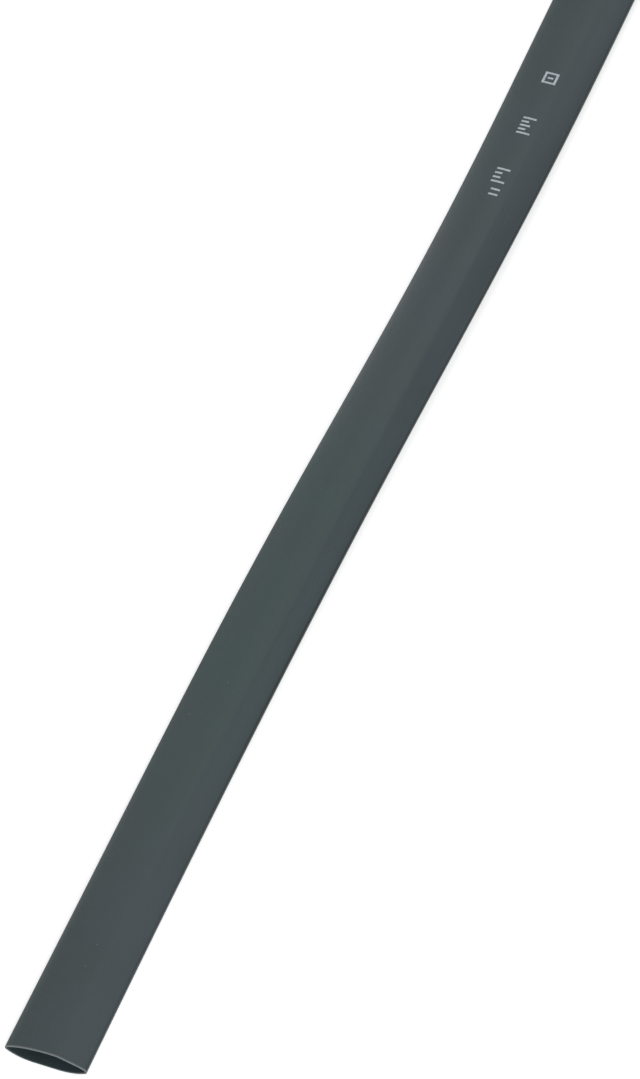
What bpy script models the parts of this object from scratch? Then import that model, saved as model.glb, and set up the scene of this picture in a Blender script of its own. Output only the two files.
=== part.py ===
"""Heat shrink tube: one straight length of thin-walled tubing, supplied pressed nearly flat.

The tube lies along Y on the floor, its near end at -Y and its folds left and right, in metres.
Its outline keeps one length from end to end, so it stands taller wherever it is pinched narrower.
"""
import math

import bmesh
import bpy

# Driving sizes, in metres
LENGTH = 1.22             # one length as sold
FLAT_WIDTH = 0.0209       # mean width from fold to fold
CROWN_RISE = 0.0036       # mean rise of the upper wall above the folds
BELLY_DROP = 0.0030       # mean drop of the lower wall below the folds
WALL = 0.00045            # thickness of the wall before shrinking
FOLD_INNER_RADIUS = 0.00035
REST_WIDTH = 0.006        # strip of the lower wall that lies on the floor

# Slow waves along the length: size, wavelength and phase at the near end.
# A sway's size is in metres, and a pinch's is its share of the outline's spare length.
SWAYS = ((0.00115, 0.380, 2.86), (0.00027, 0.220, -0.44))
PINCHES = ((0.17, 0.460, 1.47), (0.11, 0.220, -2.87))

# Fineness of the faces
STATIONS_PER_WAVE = 8
CROWN_STEPS = 8
FOLD_STEPS = 6
BELLY_STEPS = 4

TUBE_COLOUR = (0.068, 0.085, 0.090)
TUBE_ROUGHNESS = 0.55


def wave_sum(waves, distance):
    """Value of some added sine waves at a distance from the near end."""
    return sum(size * math.sin(math.tau * distance / length + phase) for size, length, phase in waves)


def spare_length(width, rises):
    """Outline's length beyond twice the width, from the sagitta rule for two shallow arcs."""
    return 8.0 * sum(rise ** 2 for rise in rises) / (3.0 * width)


def section_sizes(distance):
    """Side shift, width, crown rise and belly drop of the tube at a distance from the near end."""
    spare = spare_length(FLAT_WIDTH, (CROWN_RISE, BELLY_DROP))
    growth = spare * wave_sum(PINCHES, distance)
    width = FLAT_WIDTH + growth
    taller = math.sqrt((spare - 2.0 * growth) * width / (spare * FLAT_WIDTH))
    return wave_sum(SWAYS, distance), width, CROWN_RISE * taller, BELLY_DROP * taller


def arc_radius(span, rise, fold):
    """Radius of the arc that starts level, covers a span and a rise, and ends in the fold's arc."""
    return (span ** 2 / (rise - fold) + rise + fold) / 2.0


def half_outline(width, crown, belly, inset):
    """Points (x, z) from the middle of the crown round the +X fold to the end of the rest strip."""
    fold = WALL + FOLD_INNER_RADIUS
    fold_x = width / 2.0 - fold
    rest_x = REST_WIDTH / 2.0
    upper = arc_radius(fold_x, crown, fold)
    lower = arc_radius(fold_x - rest_x, belly, fold)
    upper_turn = math.atan2(fold_x, upper - crown)
    lower_turn = math.atan2(fold_x - rest_x, lower - belly)
    points = []
    for step in range(CROWN_STEPS):
        turn = upper_turn * step / CROWN_STEPS
        reach = upper - inset
        points.append((reach * math.sin(turn), crown - upper + reach * math.cos(turn)))
    for step in range(FOLD_STEPS + 1):
        turn = upper_turn + (math.pi - upper_turn - lower_turn) * step / FOLD_STEPS
        reach = fold - inset
        points.append((fold_x + reach * math.sin(turn), reach * math.cos(turn)))
    for step in range(BELLY_STEPS - 1, -1, -1):
        turn = lower_turn * step / BELLY_STEPS
        reach = lower - inset
        points.append((rest_x + reach * math.sin(turn), lower - belly - reach * math.cos(turn)))
    return [(x, z + belly) for x, z in points]


def section_points(distance, inset):
    """Closed outline (x, z) at a distance from the near end, moved inwards by the inset."""
    shift, width, crown, belly = section_sizes(distance)
    right = half_outline(width, crown, belly, inset)
    left = [(-x, z) for x, z in reversed(right[1:])]
    return [(x + shift, z) for x, z in right + left]


def station_distances():
    """Distances from the near end at which the section is drawn."""
    shortest = min(length for _, length, _ in SWAYS + PINCHES)
    spans = max(2, round(LENGTH * STATIONS_PER_WAVE / shortest))
    return [LENGTH * index / spans for index in range(spans + 1)]


def side_offset(distances):
    """Half the difference between how far the tube reaches to the left and to the right."""
    sizes = [section_sizes(distance) for distance in distances]
    left = min(shift - width / 2.0 for shift, width, _, _ in sizes)
    right = max(shift + width / 2.0 for shift, width, _, _ in sizes)
    return (left + right) / 2.0


def rim_points(distance):
    """Points (x, z) of one section: the outer outline and then the inner one."""
    return section_points(distance, 0.0) + section_points(distance, WALL)


def add_near_rim(mesh, place):
    """Flat ring of faces between the two outlines, with each corner's number kept in a layer."""
    corners = [mesh.verts.new() for _ in rim_points(0.0)]
    for number, corner in enumerate(corners):
        corner[place] = number
    half = len(corners) // 2
    rim = []
    for index in range(half):
        after = (index + 1) % half
        rim.append(mesh.faces.new((corners[index], corners[after], corners[half + after], corners[half + index])))
    return corners, rim


def place_corners(corners, place, distance, x_offset):
    """Move the corners of one section to where its outlines are."""
    points = rim_points(distance)
    for corner in corners:
        x, z = points[corner[place]]
        corner.co = (x - x_offset, distance - LENGTH / 2.0, z)


def build_tube_mesh():
    """Mesh of the tube: the near rim extruded from station to station to the far end."""
    mesh = bmesh.new()
    place = mesh.verts.layers.int.new("place")
    distances = station_distances()
    x_offset = side_offset(distances)
    corners, near_rim = add_near_rim(mesh, place)
    place_corners(corners, place, distances[0], x_offset)
    rim = near_rim
    for distance in distances[1:]:
        grown = bmesh.ops.extrude_face_region(mesh, geom=rim)["geom"]
        if rim is not near_rim:
            bmesh.ops.delete(mesh, geom=rim, context="FACES_ONLY")
        corners = [part for part in grown if isinstance(part, bmesh.types.BMVert)]
        rim = [part for part in grown if isinstance(part, bmesh.types.BMFace)]
        place_corners(corners, place, distance, x_offset)
    mesh.verts.layers.int.remove(place)
    bmesh.ops.recalc_face_normals(mesh, faces=mesh.faces)
    data = bpy.data.meshes.new("shrink_tube")
    mesh.to_mesh(data)
    mesh.free()
    return data


def tube_material():
    """Satin dark slate plastic."""
    material = bpy.data.materials.new("shrink_tube")
    material.use_nodes = True
    shader = material.node_tree.nodes["Principled BSDF"]
    shader.inputs["Base Color"].default_value = (*TUBE_COLOUR, 1.0)
    shader.inputs["Roughness"].default_value = TUBE_ROUGHNESS
    shader.inputs["Metallic"].default_value = 0.0
    return material


def main():
    """Clear the scene and build the tube."""
    for old in list(bpy.data.objects):
        bpy.data.objects.remove(old, do_unlink=True)
    data = build_tube_mesh()
    data.materials.append(tube_material())
    data.shade_smooth()
    data.set_sharp_from_angle(angle=math.radians(40.0))
    bpy.context.scene.collection.objects.link(bpy.data.objects.new("shrink_tube", data))


main()
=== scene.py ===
"""Looks of a heat shrink tube: a flattened length of satin tubing with plain tick marks on it."""
import logging
import math
from dataclasses import dataclass
from enum import Enum
from typing import Any, Optional, Union

import bpy
import numpy as np
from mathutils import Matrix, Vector


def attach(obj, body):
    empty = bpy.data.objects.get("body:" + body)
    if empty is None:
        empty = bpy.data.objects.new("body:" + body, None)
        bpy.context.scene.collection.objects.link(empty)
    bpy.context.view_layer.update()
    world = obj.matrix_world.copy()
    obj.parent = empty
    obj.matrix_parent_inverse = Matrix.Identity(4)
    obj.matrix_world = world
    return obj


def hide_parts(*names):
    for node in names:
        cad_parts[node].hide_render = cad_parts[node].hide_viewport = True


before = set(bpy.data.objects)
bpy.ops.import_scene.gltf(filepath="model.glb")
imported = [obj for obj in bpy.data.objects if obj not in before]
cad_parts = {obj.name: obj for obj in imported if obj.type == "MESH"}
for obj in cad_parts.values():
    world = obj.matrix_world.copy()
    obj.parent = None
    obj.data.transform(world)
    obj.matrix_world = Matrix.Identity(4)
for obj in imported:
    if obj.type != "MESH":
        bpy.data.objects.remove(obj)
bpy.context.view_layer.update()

LOG = logging.getLogger("shrink_tube")
Value = Union[float, "Signal"]
Point = tuple[float, float]
Band = tuple[Point, Point]
Colour = tuple[float, float, float, float]

MM = 0.001
PHOTO_SIZE = (640, 1079)
WHITE: Colour = (1.0, 1.0, 1.0, 1.0)


class Signal:
    """A shader socket that takes part in Python arithmetic."""

    def __init__(self, graph: "Graph", socket: bpy.types.NodeSocket) -> None:
        """Wraps a socket.

        Args:
            graph: The material that the socket belongs to.
            socket: An output socket of one of its nodes.
        """
        self.graph = graph
        self.socket = socket

    def _math(self, operation: str, *values: Value) -> "Signal":
        """Adds a Math node.

        Args:
            operation: Name of the node's operation.
            values: Its inputs in order.

        Returns:
            The node's result.
        """
        return self.graph.node("ShaderNodeMath", {"operation": operation}, dict(enumerate(values)))

    def __add__(self, other: Value) -> "Signal":
        """Sum."""
        return self._math("ADD", self, other)

    def __radd__(self, other: Value) -> "Signal":
        """Sum with a number on the left."""
        return self._math("ADD", other, self)

    def __sub__(self, other: Value) -> "Signal":
        """Difference."""
        return self._math("SUBTRACT", self, other)

    def __rsub__(self, other: Value) -> "Signal":
        """Difference with a number on the left."""
        return self._math("SUBTRACT", other, self)

    def __mul__(self, other: Value) -> "Signal":
        """Product."""
        return self._math("MULTIPLY", self, other)

    def __rmul__(self, other: Value) -> "Signal":
        """Product with a number on the left."""
        return self._math("MULTIPLY", other, self)

    def sine(self) -> "Signal":
        """Sine of the value in radians."""
        return self._math("SINE", self)

    def over(self, low: float, high: float) -> "Signal":
        """Smooth step from 0 at one value to 1 at another.

        Args:
            low: Value that gives 0.
            high: Value that gives 1, which may be the smaller one.

        Returns:
            The step, between 0 and 1.
        """
        ends = {"Value": self, "From Min": low, "From Max": high}
        if low > high:
            ends = {"Value": self, "From Min": high, "From Max": low, "To Min": 1.0, "To Max": 0.0}
        return self.graph.node("ShaderNodeMapRange", {"interpolation_type": "SMOOTHSTEP"}, ends)


class Graph:
    """A material that is being wired, with its Principled shader already in place."""

    def __init__(self, name: str) -> None:
        """Makes the material.

        Args:
            name: Name of the material.
        """
        self.material = bpy.data.materials.new(name)
        self.material.use_nodes = True
        self.tree = self.material.node_tree
        self.shader = self.tree.nodes["Principled BSDF"]

    def node(
        self, kind: str, settings: Optional[dict[str, Any]] = None,
        inputs: Optional[dict[Union[str, int], Any]] = None, output: Union[str, int] = 0,
    ) -> Signal:
        """Adds a node of any type.

        Args:
            kind: The node's type name.
            settings: Properties that are set before the sockets.
            inputs: Values or signals for its sockets, by name or number.
            output: The socket that is handed back.

        Returns:
            The chosen output.
        """
        made = self.tree.nodes.new(kind)
        for name, value in (settings or {}).items():
            setattr(made, name, value)
        for name, value in (inputs or {}).items():
            self.feed(made.inputs[name], value)
        return Signal(self, made.outputs[output])

    def feed(self, socket: bpy.types.NodeSocket, value: Any) -> None:
        """Sets or links an input socket.

        Args:
            socket: The input.
            value: A signal to link, or a constant to store.
        """
        if isinstance(value, Signal):
            self.tree.links.new(value.socket, socket)
        else:
            socket.default_value = value

    def mix(self, amount: Value, first: Any, second: Any) -> Signal:
        """Mix of two colours.

        Args:
            amount: 0 gives the first colour and 1 the second.
            first: Colour or signal.
            second: Colour or signal.

        Returns:
            The mixed colour.
        """
        settings = {"data_type": "RGBA", "blend_type": "MIX"}
        return self.node("ShaderNodeMix", settings, {0: amount, 6: first, 7: second}, output=2)

    def noise(self, place: Signal, scale: float, detail: float = 2.0) -> Signal:
        """Soft noise around 0.5.

        Args:
            place: Coordinates.
            scale: Features for each unit of the coordinates.
            detail: Octaves.

        Returns:
            The noise value.
        """
        inputs = {"Vector": place, "Scale": scale, "Detail": detail}
        return self.node("ShaderNodeTexNoise", {"noise_dimensions": "3D"}, inputs)

    def stretched(self, place: Signal, scale: tuple[float, float, float]) -> Signal:
        """Coordinates scaled by axis.

        Args:
            place: Coordinates.
            scale: Factor for each axis.

        Returns:
            The scaled coordinates.
        """
        inputs = {"Vector": place, "Scale": scale}
        return self.node("ShaderNodeMapping", {"vector_type": "POINT"}, inputs)

    def attribute(self, name: str) -> Signal:
        """Value of a float attribute of the piece."""
        return self.node("ShaderNodeAttribute", {"attribute_name": name}, output="Fac")

    def wrapped(self, name: str) -> Signal:
        """Coordinates of a UV map of the piece."""
        return self.node("ShaderNodeUVMap", {"uv_map": name})

    def axis(self, place: Signal, letter: str) -> Signal:
        """One of the numbers of a coordinate, by its axis letter."""
        return self.node("ShaderNodeSeparateXYZ", {}, {"Vector": place}, output=letter)

    def here(self) -> Signal:
        """Object coordinates."""
        return self.node("ShaderNodeTexCoord", output="Object")

    def bump(self, height: Signal, depth: float) -> Signal:
        """Normal disturbed by a height.

        Args:
            height: Height as a share of the depth.
            depth: Height in metres that 1 stands for.

        Returns:
            The normal.
        """
        return self.node("ShaderNodeBump", {}, {"Height": height, "Distance": depth})

    def dress(self, sockets: dict[str, Any]) -> bpy.types.Material:
        """Sets or links the shader's own sockets.

        Args:
            sockets: Values or signals by the socket's name.

        Returns:
            The finished material.
        """
        for name, value in sockets.items():
            self.feed(self.shader.inputs[name], value)
        return self.material


@dataclass(frozen=True)
class Wave:
    """A sine wave along the tube."""

    size: float
    length: float
    phase: float

    def at(self, distance: np.ndarray) -> np.ndarray:
        """The size times the sine of the phase plus a full turn for each wavelength.

        Args:
            distance: Distances from the near end, in metres.

        Returns:
            The wave's value at each distance.
        """
        return self.size * np.sin(math.tau * distance / self.length + self.phase)

    def shade(self, along: Signal) -> Signal:
        """The same wave on a shader signal that holds the distance."""
        return self.size * (along * (math.tau / self.length) + self.phase).sine()


@dataclass(frozen=True)
class SatinPolymer:
    """Finish of the tube: dark slate plastic with a satin skin, draw lines and a pale cut edge that
    is partly painted highlight, with painted shade along the folds, a painted highlight on the left
    margin and a painted cast of light on the right flank.

    Lengths are in metres, and a scale is a number of features for each metre. A range is the pair
    of values between which a mask steps from 0 to 1. A band is two such pairs on the way round the
    outline, clockwise from the crown as seen from the near end: where it starts and where it ends.
    """

    blue: Colour = (0.0450, 0.0650, 0.0770, 1.0)
    green: Colour = (0.0310, 0.0665, 0.0645, 1.0)
    deep: Colour = (0.0375, 0.0530, 0.0570, 1.0)
    # Painted shade: the dark tone laid along the folds, where their sides turn away from the light
    painted_fold_shade: Colour = (0.0200, 0.0285, 0.0310, 1.0)
    # Pale cut edge: the cut's own paler face, with painted highlight over the upper part of the
    # section
    cut: Colour = (0.150, 0.162, 0.170, 1.0)
    # Pale tone of the dust specks, also used for the painted highlight on the left margin
    dust_and_highlight: Colour = (0.160, 0.175, 0.180, 1.0)

    # Hue: a slow wave and soft patches between blue and green, with a painted bluer, lighter cast
    # of light on the right flank
    tint_wave: Wave = Wave(0.4, 0.30, -1.47)
    tint_patches: float = 1.2
    tint_scale: float = 11.0
    # Painted light: how far the right flank leans to the bluer, lighter tone
    flank_light_cast: float = 0.4
    flank_band: Band = ((2.0 * MM, 6.0 * MM), (30.0 * MM, 18.0 * MM))

    # Depth of tone: an even share, a slow wave and clouds of the deep tone
    deep_share: float = 0.15
    deep_wave: Wave = Wave(0.15, 0.60, math.pi / 2.0)
    deep_clouds: float = 0.35
    cloud_range: Point = (0.65, 0.35)
    cloud_scale: float = 38.0

    # Folds: painted shade along the folds, whose strength drifts along the tube, and a painted
    # highlight on the left margin where that shade is weaker
    fold_shade_wave: Wave = Wave(1.0, 0.42, -math.pi / 2.0)
    fold_shade_range: Point = (-0.8, 0.4)
    fold_shade_least: float = 0.55
    # Painted highlight: a pale band along the left margin beside the fold
    margin_highlight: float = 0.18
    margin_band: Band = ((32.0 * MM, 33.4 * MM), (37.0 * MM, 34.8 * MM))

    # Cut edge, pale partly from its own face and partly as painted highlight, and dust specks
    cut_mottle: float = 0.6
    cut_scale: float = 700.0
    speck_strength: float = 0.7
    speck_cells: float = 260.0
    speck_range: Point = (0.060, 0.025)
    speck_field: float = 120.0
    speck_field_range: Point = (0.62, 0.66)

    # Fine texture: draw lines that run along the tube, a soft pebble and a finer grain
    line_scales: tuple[float, float, float] = (2600.0, 9.0, 1.0)
    pebble_scale: float = 1300.0
    grain_scale: float = 5200.0

    # Gloss: roughness of each place, and how far the textures move it
    roughness: float = 0.46
    fold_roughness: float = 0.36
    cut_roughness: float = 0.70
    cloud_gloss: float = 0.10
    line_gloss: float = 0.08
    pebble_gloss: float = 0.06

    # Relief: its depth, and the share of it in each texture
    relief: float = 0.1 * MM
    line_relief: float = 0.45
    pebble_relief: float = 0.35
    grain_relief: float = 0.20
    speck_relief: float = 0.6

    def material(self) -> bpy.types.Material:
        """Wires the finish.

        Returns:
            The material.
        """
        graph = Graph("satin_polymer")
        place, wrap = graph.here(), graph.wrapped("wrap")
        around, along = graph.axis(wrap, "X"), graph.axis(wrap, "Y")
        cloud = graph.noise(place, self.cloud_scale, 3.0)
        lines = graph.noise(graph.stretched(wrap, self.line_scales), 1.0, 3.0)
        pebble = graph.noise(place, self.pebble_scale)
        grain = graph.noise(place, self.grain_scale)
        specks = self.specks(graph, place)
        mottle = 1.0 + self.cut_mottle * (graph.noise(place, self.cut_scale) - 0.5)
        # Pale cut edge, partly painted highlight that grows up the section
        cut = graph.attribute("cut_edge_and_highlight") * mottle
        # Painted shade along the folds, fullest on the fold at +X, with a strength that drifts
        # along the tube
        fold_shade_strength = self.fold_shade_wave.shade(along).over(*self.fold_shade_range)
        fold = graph.attribute("fold") * (self.fold_shade_least + (1.0 - self.fold_shade_least) * fold_shade_strength)
        # Painted highlight on the left margin, stronger where the painted fold shade is weaker
        margin_highlight = self.margin_highlight * self.band(around, self.margin_band) * (1.0 - fold_shade_strength)
        dusk = self.deep_share + self.deep_wave.shade(along)
        skin = graph.mix(self.tint(graph, place, around, along), self.blue, self.green)
        skin = graph.mix(dusk + self.deep_clouds * cloud.over(*self.cloud_range), skin, self.deep)
        # Painted shade: the skin darkens along the folds
        skin = graph.mix(fold, skin, self.painted_fold_shade)
        # Dust specks, and the painted highlight on the left margin, in the same pale tone
        skin = graph.mix(specks + margin_highlight, skin, self.dust_and_highlight)
        skin = graph.mix(cut, skin, self.cut)
        rough = self.roughness + self.cloud_gloss * (cloud - 0.5)
        rough = rough + self.line_gloss * (lines - 0.5) + self.pebble_gloss * (pebble - 0.5)
        rough = rough + (self.fold_roughness - self.roughness) * fold
        rough = rough + (self.cut_roughness - self.roughness) * cut
        height = self.line_relief * lines + self.pebble_relief * pebble
        height = height + self.grain_relief * grain + self.speck_relief * specks
        normal = graph.bump(height, self.relief)
        return graph.dress({"Base Color": skin, "Roughness": rough, "Normal": normal})

    @staticmethod
    def band(around: Signal, bounds: Band) -> Signal:
        """Mask of a lengthwise band: the step in at its start times the step out at its end."""
        start, end = bounds
        return around.over(*start) * around.over(*end)

    def tint(self, graph: Graph, place: Signal, around: Signal, along: Signal) -> Signal:
        """Share of green: a half, plus the wave and the patches, less the painted cast of light
        that turns the right flank blue.

        Args:
            graph: The material.
            place: Object coordinates.
            around: Way round the outline.
            along: Distance along the tube.

        Returns:
            The share.
        """
        patches = self.tint_patches * (graph.noise(place, self.tint_scale, 1.0) - 0.5)
        # Painted light: a bluer, lighter cast on the right flank
        flank = self.flank_light_cast * self.band(around, self.flank_band)
        return 0.5 + self.tint_wave.shade(along) + patches - flank

    def specks(self, graph: Graph, place: Signal) -> Signal:
        """Mask of rare dust specks: dots at the cells' points, kept where a slow noise is high.

        Args:
            graph: The material.
            place: Object coordinates.

        Returns:
            The mask, between 0 and 1.
        """
        cell = {"feature": "F1", "distance": "EUCLIDEAN", "voronoi_dimensions": "3D"}
        inputs = {"Vector": place, "Scale": self.speck_cells}
        reach = graph.node("ShaderNodeTexVoronoi", cell, inputs, output="Distance")
        rare = graph.noise(place, self.speck_field, 1.0).over(*self.speck_field_range)
        return self.speck_strength * reach.over(*self.speck_range) * rare


@dataclass(frozen=True)
class PrintInk:
    """Finish of the marks: thin pale grey ink, slightly uneven."""

    colour: Colour = (0.54, 0.61, 0.66, 1.0)
    worn: Colour = (0.40, 0.46, 0.50, 1.0)
    roughness: float = 0.55
    patch_scale: float = 1500.0
    patch_range: Point = (0.35, 0.60)
    patch_gloss: float = 0.15

    def material(self) -> bpy.types.Material:
        """Wires the finish.

        Returns:
            The material.
        """
        graph = Graph("print_ink")
        patches = graph.noise(graph.here(), self.patch_scale, 3.0)
        ink = graph.mix(patches.over(*self.patch_range), self.worn, self.colour)
        rough = self.roughness + self.patch_gloss * (patches - 0.5)
        return graph.dress({"Base Color": ink, "Roughness": rough})


@dataclass(frozen=True)
class PaleFloor:
    """Finish of the floor: plain matt white."""

    colour: Colour = (0.90, 0.90, 0.90, 1.0)
    roughness: float = 0.9
    glow: float = 0.50

    def material(self) -> bpy.types.Material:
        """Wires the finish.

        Returns:
            The material.
        """
        return Graph("pale_floor").dress({
            "Base Color": self.colour, "Roughness": self.roughness, "Specular IOR Level": 0.0,
            "Emission Color": WHITE, "Emission Strength": self.glow,
        })


def smooth_step(value: np.ndarray) -> np.ndarray:
    """Three times the square less twice the cube of the value, held between 0 and 1."""
    held = np.clip(value, 0.0, 1.0)
    return held * held * (3.0 - 2.0 * held)


def add_piece(
    name: str, points: np.ndarray, faces: np.ndarray, material: bpy.types.Material,
) -> bpy.types.Object:
    """Puts points and faces into a smooth-shaded mesh object at the origin.

    Args:
        name: The piece's name.
        points: Corners, as rows of x, y and z in metres.
        faces: Corner numbers, four to a row.
        material: Its finish.

    Returns:
        The new object, linked to the scene.
    """
    mesh = bpy.data.meshes.new(name)
    mesh.from_pydata(points.tolist(), [], faces.tolist())
    mesh.materials.append(material)
    mesh.shade_smooth()
    mesh.update()
    piece = bpy.data.objects.new(name, mesh)
    bpy.context.scene.collection.objects.link(piece)
    return piece


@dataclass(frozen=True)
class FlattenedSection:
    """Lens-shaped section of the flattened tube: two shallow arcs that meet in tight folds.

    The ridge is a soft crest along the crown, ridge_place to the right of the middle. Its depth
    eases from ridge_at_cut to ridge over the length ridge_settle. crest_round rounds it off and
    crest_shift makes up for that, and the dip fades in over the height ridge_clear above the folds.
    """

    flat_width: float = 20.9 * MM
    crown_rise: float = 3.6 * MM
    belly_drop: float = 3.0 * MM
    wall: float = 0.45 * MM
    fold_inner_radius: float = 0.35 * MM
    rest_width: float = 6.0 * MM
    ridge: float = 0.15 * MM
    ridge_at_cut: float = 0.24 * MM
    ridge_settle: float = 0.13
    ridge_place: float = 3.9 * MM
    crest_round: float = 0.006
    crest_shift: float = 0.06
    ridge_clear: float = 0.3 * MM
    sways: tuple[Wave, ...] = (Wave(1.15 * MM, 0.380, 2.86), Wave(0.27 * MM, 0.220, -0.44))
    pinches: tuple[Wave, ...] = (Wave(0.17, 0.460, 1.47), Wave(0.11, 0.220, -2.87))
    ridge_drift: tuple[Wave, ...] = (Wave(0.9 * MM, 0.360, -1.57),)
    # Share of the painted fold shade on the fold at -X
    other_fold_shade: float = 0.40
    crown_steps: int = 22
    fold_steps: int = 14
    belly_steps: int = 8

    def sizes(self, distance: np.ndarray) -> tuple[np.ndarray, ...]:
        """Local sizes: the width follows the pinch waves, and the outline keeps its length.

        The spare length is 8 times the sum of the squared rises over 3 times the width. Each gain
        in width takes twice itself from that. Both rises are scaled by the square root of the
        spare length times the width, over the same for the mean section.

        Args:
            distance: Distances from the near end.

        Returns:
            Side shift, width, crown rise and belly drop at each distance.
        """
        spare = 8.0 * (self.crown_rise ** 2 + self.belly_drop ** 2) / (3.0 * self.flat_width)
        growth = spare * sum(wave.at(distance) for wave in self.pinches)
        width = self.flat_width + growth
        taller = np.sqrt((spare - 2.0 * growth) * width / (spare * self.flat_width))
        shift = sum(wave.at(distance) for wave in self.sways)
        return shift, width, self.crown_rise * taller, self.belly_drop * taller

    @staticmethod
    def arc_radius(span: np.ndarray, rise: np.ndarray, fold: float) -> np.ndarray:
        """Arc's radius: half of squared span over rise less fold, plus half of rise and fold."""
        return (span ** 2 / (rise - fold) + rise + fold) / 2.0

    def half_outline(
        self, distance: np.ndarray, inset: np.ndarray,
    ) -> tuple[np.ndarray, np.ndarray]:
        """Right half of each section: an angle carried round the crown, the fold and the belly.

        Each point is its arc's centre plus the radius less the inset along that angle.

        Args:
            distance: Distances from the near end.
            inset: How far inside the outer outline each section lies.

        Returns:
            Offsets across and heights above the folds, one row for each distance.
        """
        _, width, crown, belly = (size[:, None] for size in self.sizes(distance))
        inset = inset[:, None]
        fold = self.wall + self.fold_inner_radius
        fold_x, rest_x = width / 2.0 - fold, self.rest_width / 2.0
        upper = self.arc_radius(fold_x, crown, fold)
        lower = self.arc_radius(fold_x - rest_x, belly, fold)
        upper_turn = np.arctan2(fold_x, upper - crown)
        lower_turn = np.arctan2(fold_x - rest_x, lower - belly)
        fold_span = math.pi - upper_turn - lower_turn
        crown_turn = upper_turn * np.linspace(0.0, 1.0, self.crown_steps, endpoint=False)
        fold_turn = upper_turn + fold_span * np.linspace(0.0, 1.0, self.fold_steps + 1)
        belly_turn = lower_turn * np.linspace(1.0, 0.0, self.belly_steps + 1)[1:]
        across = [
            (upper - inset) * np.sin(crown_turn),
            fold_x + (fold - inset) * np.sin(fold_turn),
            rest_x + (lower - inset) * np.sin(belly_turn),
        ]
        height = [
            crown - upper + (upper - inset) * np.cos(crown_turn),
            (fold - inset) * np.cos(fold_turn),
            lower - belly - (lower - inset) * np.cos(belly_turn),
        ]
        return np.concatenate(across, axis=1), np.concatenate(height, axis=1)

    def ridge_dip(self, distance: np.ndarray, across: np.ndarray) -> np.ndarray:
        """How far the flanks sink beside the soft ridge: p times the square of 1 - p.

        Here p is the way from the crest to the fold, from 0 to 1, rounded off at the crest. The
        product is 4/27 at most, so 27/4 brings it to the ridge's depth.

        Args:
            distance: Distances from the near end.
            across: Offsets from the middle of each section.

        Returns:
            The dip at each point, in metres.
        """
        _, width, _, _ = (size[:, None] for size in self.sizes(distance))
        reach = width / 2.0 - self.wall - self.fold_inner_radius
        top = self.ridge_place + sum(wave.at(distance) for wave in self.ridge_drift)[:, None]
        away = across - top
        span = np.where(away >= 0.0, reach - top, reach + top)
        share = np.sqrt((away / span) ** 2 + self.crest_round) - self.crest_shift
        share = np.clip(share, 0.0, 1.0)
        settled = smooth_step(distance / self.ridge_settle)[:, None]
        depth = self.ridge_at_cut + (self.ridge - self.ridge_at_cut) * settled
        return depth * (27.0 / 4.0) * share * (1.0 - share) ** 2

    def outline(
        self, distance: np.ndarray, inset: np.ndarray,
    ) -> tuple[np.ndarray, np.ndarray]:
        """Whole closed sections, clockwise from the crown as seen from the near end.

        Args:
            distance: Distances from the near end.
            inset: How far inside the outer outline each section lies.

        Returns:
            Offsets across from the tube's own middle, and heights above the floor.
        """
        across, height = self.half_outline(distance, inset)
        across = np.concatenate([across, -across[:, :0:-1]], axis=1)
        height = np.concatenate([height, height[:, :0:-1]], axis=1)
        belly = self.sizes(distance)[3][:, None]
        count = across.shape[1]
        index = np.arange(count)
        upper = (index < self.crown_steps) | (index > count - self.crown_steps)
        dip = self.ridge_dip(distance, across) * upper * smooth_step(height / self.ridge_clear)
        return across, height + belly - dip

    def fold_shade_mask(self) -> np.ndarray:
        """Mask of the painted shade on the folds: one on the fold at +X, a smaller share on the
        other, and nothing else.

        Returns:
            The mask for each point round a section.
        """
        half = self.crown_steps + self.fold_steps + 1 + self.belly_steps
        step = np.arange(half)
        middle = self.crown_steps + self.fold_steps / 2.0
        mask = np.where(np.abs(step - middle) <= self.fold_steps / 2.0, 1.0, 0.0)
        return np.concatenate([mask, self.other_fold_shade * mask[:0:-1]])

    def crown_height(
        self, across: np.ndarray, distance: np.ndarray,
    ) -> tuple[np.ndarray, np.ndarray]:
        """Height of the crown and its circle's slope: the circle at each offset, less the dip.

        Args:
            across: Offsets from the tube's own middle.
            distance: Distances from the near end.

        Returns:
            Heights above the floor, and slopes across of the circle alone.
        """
        _, width, crown, belly = self.sizes(distance)
        fold = self.wall + self.fold_inner_radius
        radius = self.arc_radius(width / 2.0 - fold, crown, fold)
        level = np.sqrt(radius ** 2 - across ** 2)
        height = belly + crown - radius + level
        height = height - self.ridge_dip(distance, across[:, None])[:, 0]
        return height, -across / level


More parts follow.
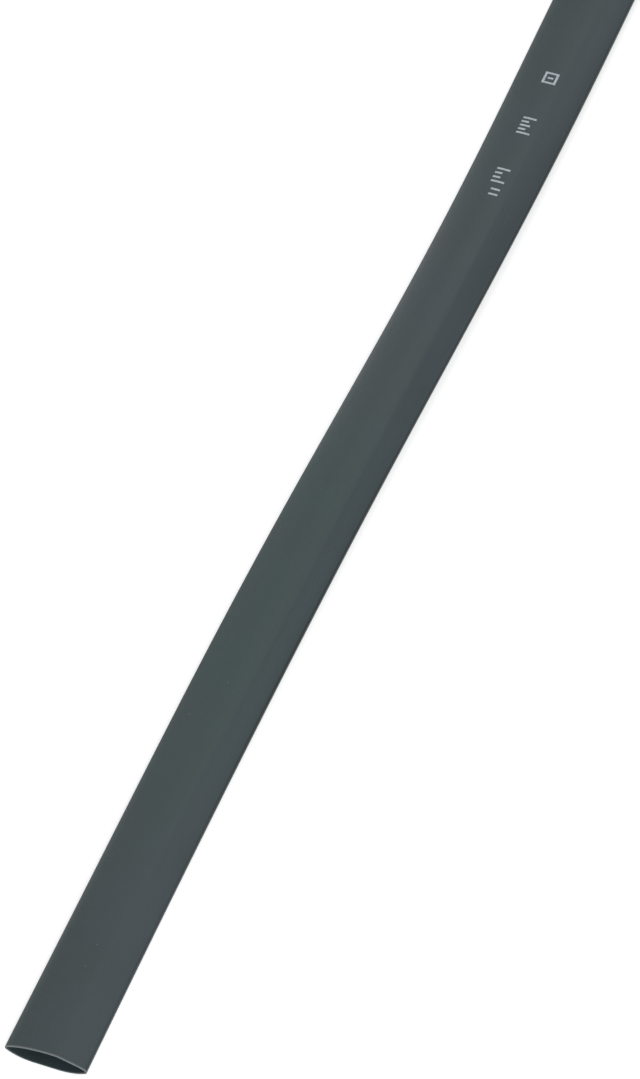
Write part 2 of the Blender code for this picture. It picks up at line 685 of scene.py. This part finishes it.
@dataclass
class ShrinkTube:
    """The tube: the section carried along a closed path out over the skin and back in the bore.

    Sections stand close together over rim_zone beside each cut, first_gap apart at first, and
    evenly between the two margins. The cuts lean by cut_lean across and by cut_lift upwards, which
    fades out over cut_fade, and the far cut leans by the share far_lean of that. Their pale edge,
    the cut's own paler face with painted highlight over the upper part of the section, reaches
    edge_fade along the skin. It starts at the share pale_from of the section's height and is full
    at pale_span further up.
    """

    section: FlattenedSection
    finish: SatinPolymer
    length: float = 1.22
    rim_round: float = 0.06 * MM
    rim_steps: int = 4
    cut_lean: float = 0.30 * MM
    cut_lift: float = 0.20 * MM
    cut_fade: float = 8.0 * MM
    far_lean: float = 0.5
    edge_fade: float = 0.35 * MM
    pale_from: float = 0.3
    pale_span: float = 1.0 / 3.0
    first_gap: float = 0.05 * MM
    rim_zone: float = 6.0 * MM
    rim_stations: int = 14
    margin: float = 9.0 * MM
    body_stations: int = 380
    packed_stations: int = 45

    def side_offset(self) -> float:
        """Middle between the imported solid's furthest reaches to the left and to the right.

        Returns:
            The offset in metres.
        """
        distance = np.linspace(0.0, self.length, self.packed_stations)
        shift, width, _, _ = self.section.sizes(distance)
        return float((np.min(shift - width / 2.0) + np.max(shift + width / 2.0)) / 2.0)

    def stations(self) -> np.ndarray:
        """Distances of the sections on one skin: close together by the cuts and even between.

        Returns:
            The distances, in ascending order.
        """
        near = np.geomspace(self.first_gap, self.rim_zone, self.rim_stations)
        near = self.rim_round + near - self.first_gap
        middle = np.linspace(self.margin, self.length - self.margin, self.body_stations)
        return np.concatenate([near, middle, self.length - near[::-1]])

    def rim(self) -> tuple[np.ndarray, np.ndarray]:
        """Path over one rim from the outer skin to the inner one: two quarter turns and a flat.

        Returns:
            Distance from the cut and inset at each point, the ends on the skins left out.
        """
        turn = np.linspace(0.0, math.pi / 2.0, self.rim_steps + 1)[1:]
        depth = self.rim_round * (1.0 - np.sin(turn))
        inset = self.rim_round * (1.0 - np.cos(turn))
        insets = np.concatenate([inset, self.section.wall - inset[:-1][::-1]])
        return np.concatenate([depth, depth[:-1][::-1]]), insets

    def path(self) -> tuple[np.ndarray, np.ndarray]:
        """Closed path: over the outer skin, the far rim, the inner skin and the near rim.

        Returns:
            Distances from the near end, and insets.
        """
        out = self.stations()
        depth, inset = self.rim()
        wall = self.section.wall
        distance = [out, self.length - depth, out[::-1], depth[::-1]]
        insets = [np.zeros_like(out), inset, np.full_like(out, wall), inset[::-1]]
        return np.concatenate(distance), np.concatenate(insets)

    def surface(self) -> tuple[np.ndarray, np.ndarray]:
        """Points of the whole closed surface on a grid of path and outline.

        Each cut leans back a little towards +X and the crown: by one smooth step across the width
        and another up the height, times a smooth step that fades out along the tube.

        Returns:
            Points as a grid of x, y and z, and the path's distances.
        """
        distance, inset = self.path()
        across, height = self.section.outline(distance, inset)
        shift = self.section.sizes(distance)[0][:, None]
        half = self.section.flat_width / 2.0
        lean = self.cut_lean * smooth_step((across / half + 1.0) / 2.0)
        lean = lean + self.cut_lift * smooth_step(height / height.max(axis=1, keepdims=True))
        near = 1.0 - smooth_step(distance / self.cut_fade)[:, None]
        far = 1.0 - smooth_step((self.length - distance) / self.cut_fade)[:, None]
        along = distance[:, None] + lean * near - self.far_lean * lean * far
        x, y = across + shift - self.side_offset(), along - self.length / 2.0
        return np.stack([x, y, height], axis=-1), distance

    def wrap(self, points: np.ndarray, distance: np.ndarray) -> np.ndarray:
        """UV coordinates in metres: the way round the middle section, and the distance along.

        Args:
            points: The grid of points.
            distance: Distance of each section.

        Returns:
            One pair for each corner of each face, in the order of the faces.
        """
        rows, columns = points.shape[:2]
        ring = points[len(self.stations()) // 2][:, [0, 2]]
        steps = np.linalg.norm(np.roll(ring, -1, axis=0) - ring, axis=1)
        around = np.concatenate([[0.0], np.cumsum(steps)])
        along = np.concatenate([distance, distance[:1]])
        i, j = np.meshgrid(np.arange(rows), np.arange(columns), indexing="ij")
        corners = [(i, j), (i, j + 1), (i + 1, j + 1), (i + 1, j)]
        pairs = [np.stack([around[b], along[a]], axis=-1) for a, b in corners]
        return np.stack(pairs, axis=2).reshape(-1, 2)

    def build(self) -> bpy.types.Object:
        """Makes the tube's object with its UV map, its mask of the pale cut edges, partly painted
        highlight, and its mask of the painted shade on the folds.

        Returns:
            The object.
        """
        points, distance = self.surface()
        rows, columns = points.shape[:2]
        i, j = np.meshgrid(np.arange(rows), np.arange(columns), indexing="ij")
        after, beside = (i + 1) % rows, (j + 1) % columns
        faces = np.stack([i * columns + j, i * columns + beside,
                          after * columns + beside, after * columns + j], axis=-1).reshape(-1, 4)
        piece = add_piece("tube_skin", points.reshape(-1, 3), faces, self.finish.material())
        uv = piece.data.uv_layers.new(name="wrap")
        uv.data.foreach_set("uv", self.wrap(points, distance).astype(np.float32).ravel())
        # Masks: the pale cut edge, partly painted highlight, and the painted shade on the folds
        masks = {"cut_edge_and_highlight": self.cut_edge_and_highlight_mask(points[..., 2], distance),
                 "fold": np.tile(self.section.fold_shade_mask(), rows)}
        for name, mask in masks.items():
            attribute = piece.data.attributes.new(name, "FLOAT", "POINT")
            attribute.data.foreach_set("value", mask.astype(np.float32).ravel())
        return piece

    def cut_edge_and_highlight_mask(self, height: np.ndarray, distance: np.ndarray) -> np.ndarray:
        """Mask of the pale cut edge, partly painted highlight: a step away from the cut times a
        step up the section, so the paleness stays on the upper part.

        Args:
            height: The grid of heights above the floor.
            distance: Distance of each section.

        Returns:
            The mask for each point of the grid, between 0 and 1.
        """
        from_cut = np.minimum(distance, self.length - distance)
        beside = 1.0 - smooth_step((from_cut - self.rim_round) / self.edge_fade)
        share = height / height.max(axis=1, keepdims=True)
        return beside[:, None] * smooth_step((share - self.pale_from) / self.pale_span)


class Mark(Enum):
    """Plain printed marks: straight strokes from one offset across and along to another, in mm."""

    BOX = (((-2.0, -1.9), (2.0, -1.9)), ((-2.0, 1.9), (2.0, 1.9)),
           ((-1.66, -1.55), (-1.66, 1.55)), ((1.66, -1.55), (1.66, 1.55)),
           ((-0.8, 0.0), (0.8, 0.0)))
    LONG_SCALE = (((-1.9, -3.0), (1.9, -3.0)), ((-1.9, -1.5), (0.2, -1.5)),
                  ((-1.9, 0.0), (1.0, 0.0)), ((-1.9, 1.5), (0.2, 1.5)),
                  ((-1.9, 3.0), (1.9, 3.0)))
    SHORT_SCALE = (((-1.9, -2.5), (1.9, -2.5)), ((-1.9, -0.85), (0.2, -0.85)),
                   ((-1.9, 0.85), (0.2, 0.85)), ((-1.9, 2.5), (1.9, 2.5)))
    PAIR = (((-1.3, -1.0), (1.3, -1.0)), ((-1.3, 1.0), (1.3, 1.0)))


@dataclass
class PrintMarks:
    """Ink marks on the crown: each stroke is a thin closed ribbon that follows the tube's surface.

    The ink stands proud by film and reaches into the wall by bed. The group of marks starts at
    first and comes again after each repeat, up to end_margin from the far end.
    """

    tube: ShrinkTube
    finish: PrintInk
    stroke_width: float = 0.68 * MM
    film: float = 0.015 * MM
    bed: float = 0.03 * MM
    steps: int = 10
    first: float = 0.3504
    repeat: float = 0.500
    end_margin: float = 50.0 * MM
    sharp_angle: float = 40.0
    layout: tuple[tuple[Mark, Point], ...] = (
        (Mark.BOX, (-0.40 * MM, -0.5 * MM)), (Mark.LONG_SCALE, (-0.45 * MM, -20.4 * MM)),
        (Mark.SHORT_SCALE, (-0.50 * MM, -40.9 * MM)), (Mark.PAIR, (0.0, -47.4 * MM)))

    def ribbon(self, start: Point, end: Point, middle: np.ndarray) -> np.ndarray:
        """One stroke as a ring of four corners carried from its start to its end.

        Args:
            start: Offset across and along of its start, in millimetres from the mark's middle.
            end: The same for its end.
            middle: The mark's middle as offset across and distance from the near end, in metres.

        Returns:
            Points as a grid of steps by four corners: two on the ink's face and two in the wall.
        """
        a, b = np.array(start) * MM, np.array(end) * MM
        way = (b - a) / np.linalg.norm(b - a)
        side = np.array([way[1], -way[0]]) * self.stroke_width / 2.0
        line = a + (b - a) * np.linspace(0.0, 1.0, self.steps)[:, None]
        flat = np.stack([line - side, line + side, line + side, line - side], axis=1)
        lift = np.array([self.film, self.film, -self.bed, -self.bed])
        across, along = (flat + middle).reshape(-1, 2).T
        height, slope = self.tube.section.crown_height(across, along)
        up = np.tile(lift, self.steps)
        tilt = 1.0 / np.sqrt(1.0 + slope ** 2)
        shift = self.tube.section.sizes(along)[0]
        x = across - up * slope * tilt + shift - self.tube.side_offset()
        return np.stack([x, along - self.tube.length / 2.0, height + up * tilt], axis=-1)

    def faces(self) -> np.ndarray:
        """Faces of one ribbon: four sides for each step and a cap at each end.

        Returns:
            Corner numbers, four to a row.
        """
        i, j = np.meshgrid(np.arange(self.steps - 1) * 4, np.arange(4), indexing="ij")
        k = (j + 1) % 4
        sides = np.stack([i + j, i + k, i + 4 + k, i + 4 + j], axis=-1).reshape(-1, 4)
        last = (self.steps - 1) * 4
        caps = np.array([[3, 2, 1, 0], [last, last + 1, last + 2, last + 3]])
        return np.concatenate([sides, caps])

    def build(self) -> bpy.types.Object:
        """Makes all the marks as one object.

        Returns:
            The object.
        """
        groups = np.arange(self.first, self.tube.length - self.end_margin, self.repeat)
        strokes = [self.ribbon(start, end, np.array([0.0, group]) + np.array(place))
                   for group in groups for mark, place in self.layout for start, end in mark.value]
        points = np.concatenate(strokes)
        faces = np.concatenate([self.faces() + n * self.steps * 4 for n in range(len(strokes))])
        piece = add_piece("print_marks", points, faces, self.finish.material())
        piece.data.set_sharp_from_angle(angle=math.radians(self.sharp_angle))
        return piece


@dataclass(frozen=True)
class SoftBox:
    """A square studio light on a sphere around a point of the tube, turned to that point.

    Its power is in watts, and its side and reach are in metres.
    """

    name: str
    turn: float
    rise: float
    power: float
    side: float = 0.7
    reach: float = 1.2
    aim: tuple[float, float, float] = (0.0, -0.42, 0.0)

    def build(self) -> None:
        """Makes the light: turn runs from +Y towards +X and rise from the floor up, in degrees."""
        turn, rise = math.radians(self.turn), math.radians(self.rise)
        level = math.cos(rise)
        way = Vector((math.sin(turn) * level, math.cos(turn) * level, math.sin(rise)))
        lamp = bpy.data.lights.new(self.name, "AREA")
        lamp.size = self.side
        lamp.energy = self.power
        light = bpy.data.objects.new(self.name, lamp)
        light.location = Vector(self.aim) + self.reach * way
        light.rotation_euler = (-way).to_track_quat("-Z", "Y").to_euler()
        bpy.context.scene.collection.objects.link(light)


@dataclass
class Studio:
    """Plain pale floor, soft light and the camera at the photograph's angle.

    The angles are in degrees, the sensor in millimetres and the focal length in pixels.
    """

    floor_finish: PaleFloor
    sky: float = 0.423
    azimuth: float = 21.613
    elevation: float = 50.004
    distance: float = 1.546246
    target: tuple[float, float, float] = (0.000756, -0.432126, 0.0)
    focal_pixels: float = 6000.0
    sensor: float = 36.0
    floor_half: float = 40.0

    def floor(self) -> None:
        """Makes the floor as one large square."""
        corners = np.array([[-1.0, -1.0, 0.0], [1.0, -1.0, 0.0], [1.0, 1.0, 0.0], [-1.0, 1.0, 0.0]])
        points, faces = self.floor_half * corners, np.array([[0, 1, 2, 3]])
        piece = add_piece("floor", points, faces, self.floor_finish.material())

    def world(self) -> None:
        """Sets an even pale sky and plain colours."""
        world = bpy.data.worlds.new("studio")
        world.use_nodes = True
        background = world.node_tree.nodes["Background"]
        background.inputs["Color"].default_value = WHITE
        background.inputs["Strength"].default_value = self.sky
        bpy.context.scene.world = world
        bpy.context.scene.view_settings.view_transform = "Standard"

    def camera(self) -> None:
        """Makes the camera: its lens is the sensor times the focal pixels over the longer side."""
        data = bpy.data.cameras.new("photo_view")
        data.sensor_width = self.sensor
        data.lens = self.sensor * self.focal_pixels / max(PHOTO_SIZE)
        turn, rise = math.radians(self.azimuth), math.radians(self.elevation)
        level = math.cos(rise)
        back = Vector((math.sin(turn) * level, -math.cos(turn) * level, math.sin(rise)))
        camera = bpy.data.objects.new("photo_view", data)
        camera.location = Vector(self.target) + back * self.distance
        camera.rotation_mode = "QUATERNION"
        camera.rotation_quaternion = (-back).to_track_quat("-Z", "Y")
        bpy.context.scene.collection.objects.link(camera)
        bpy.context.scene.camera = camera

    def lights(self) -> None:
        """Makes the soft lights: three large ones, and two small ones close to the tube."""
        far, mouth = (0.0, -0.30, 0.0), (0.0, -0.60, 0.0)
        boxes = (
            SoftBox("right_box", turn=90.0, rise=50.0, power=1.32),
            SoftBox("back_box", turn=0.0, rise=50.0, power=1.97),
            SoftBox("corner_box", turn=315.0, rise=50.0, power=0.25),
            SoftBox("far_box", turn=300.0, rise=35.0, power=0.215, side=0.3, reach=0.5, aim=far),
            SoftBox("mouth_box", turn=150.0, rise=35.0, power=1.25, side=0.3, reach=0.5, aim=mouth),
        )
        for box in boxes:
            box.build()

    def build(self) -> None:
        """Makes the camera, the floor, the sky and the lights."""
        self.camera()
        self.floor()
        self.world()
        self.lights()


def main() -> None:
    """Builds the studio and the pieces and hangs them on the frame."""
    logging.basicConfig(level=logging.INFO, format="%(name)s: %(message)s")
    Studio(PaleFloor()).build()
    tube = ShrinkTube(FlattenedSection(), SatinPolymer())
    skin = tube.build()
    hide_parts("shrink_tube")
    marks = PrintMarks(tube, PrintInk()).build()
    for piece in (skin, marks):
        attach(piece, "root")
        LOG.info("%s: %d faces", piece.name, len(piece.data.polygons))


if __name__ == "__main__":
    main()
